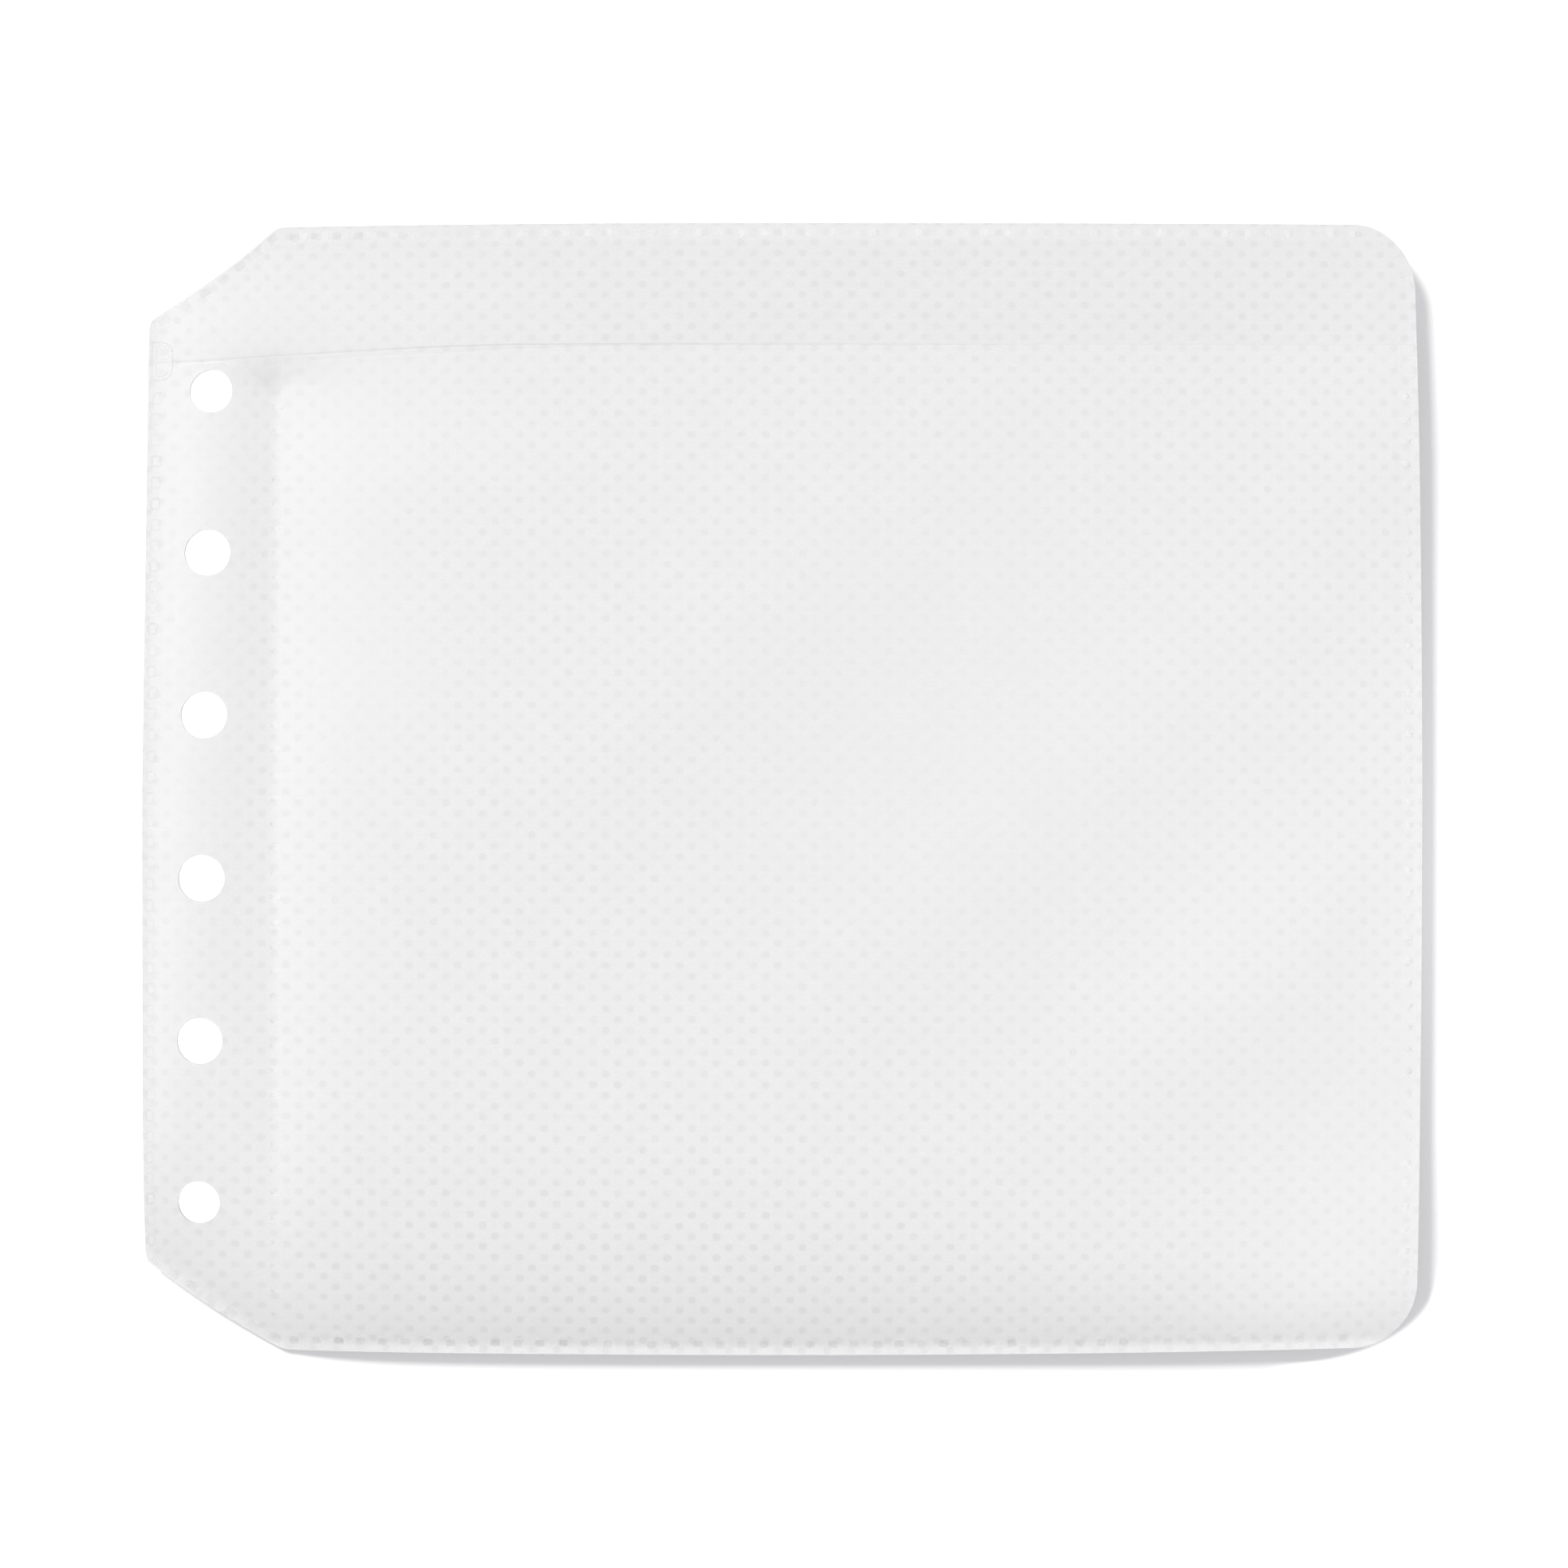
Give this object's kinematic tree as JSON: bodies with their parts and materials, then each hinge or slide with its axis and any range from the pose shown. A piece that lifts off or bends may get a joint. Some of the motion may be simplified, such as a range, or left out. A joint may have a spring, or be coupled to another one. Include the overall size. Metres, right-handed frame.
{
  "type": "compact disc binder sleeve",
  "caption": "Flat double-sided disc sleeve with a soft white liner, frosted film pockets, hinged film flaps over the mouths, dotted edge welds and a punched ring-binder margin.",
  "frame": {"origin": "middle of the sleeve's underside, on the surface that it lies on", "axes": "+X away from the ring holes along the sleeve's width, +Y towards the mouth and the flaps, +Z out of the front face"},
  "size_m": [0.15, 0.132, 0.0039],
  "materials": {
    "liner": "soft white nonwoven with a fine lattice of bond points",
    "film": "satin frosted polypropylene film",
    "weld": "film and liner melted together, slightly glossy"
  },
  "bodies": {
    "sleeve": {"liner": "liner", "front_pocket_film": "film", "back_pocket_film": "film", "front_flap_hem": "weld", "back_flap_hem": "weld", "front_left_edge_weld": "weld", "back_left_edge_weld": "weld", "front_lower_left_corner_weld": "weld", "back_lower_left_corner_weld": "weld", "front_bottom_edge_weld": "weld", "back_bottom_edge_weld": "weld", "front_lower_right_corner_weld": "weld", "back_lower_right_corner_weld": "weld", "front_right_edge_weld": "weld", "back_right_edge_weld": "weld", "front_upper_right_corner_weld": "weld", "back_upper_right_corner_weld": "weld", "front_upper_left_corner_weld": "weld", "back_upper_left_corner_weld": "weld", "front_pocket_seam_weld": "weld", "back_pocket_seam_weld": "weld", "front_mouth_pad_left": "weld", "back_mouth_pad_left": "weld", "front_mouth_pad_right": "weld", "back_mouth_pad_right": "weld"},
    "front_flap": {"front_flap_film": "film"},
    "back_flap": {"back_flap_film": "film"}
  },
  "joints": [
    {"name": "front_flap_lift", "type": "hinge", "parent": "sleeve", "child": "front_flap", "pos_m": [0, 0.0633, 0.0038], "axis": [-1, 0, 0], "range_deg": [0, 40], "stiffness_Nm_per_rad": 0.004},
    {"name": "back_flap_lift", "type": "hinge", "parent": "sleeve", "child": "back_flap", "pos_m": [0, 0.0633, 0.0001], "axis": [1, 0, 0], "range_deg": [0, 40], "stiffness_Nm_per_rad": 0.004}
  ]
}
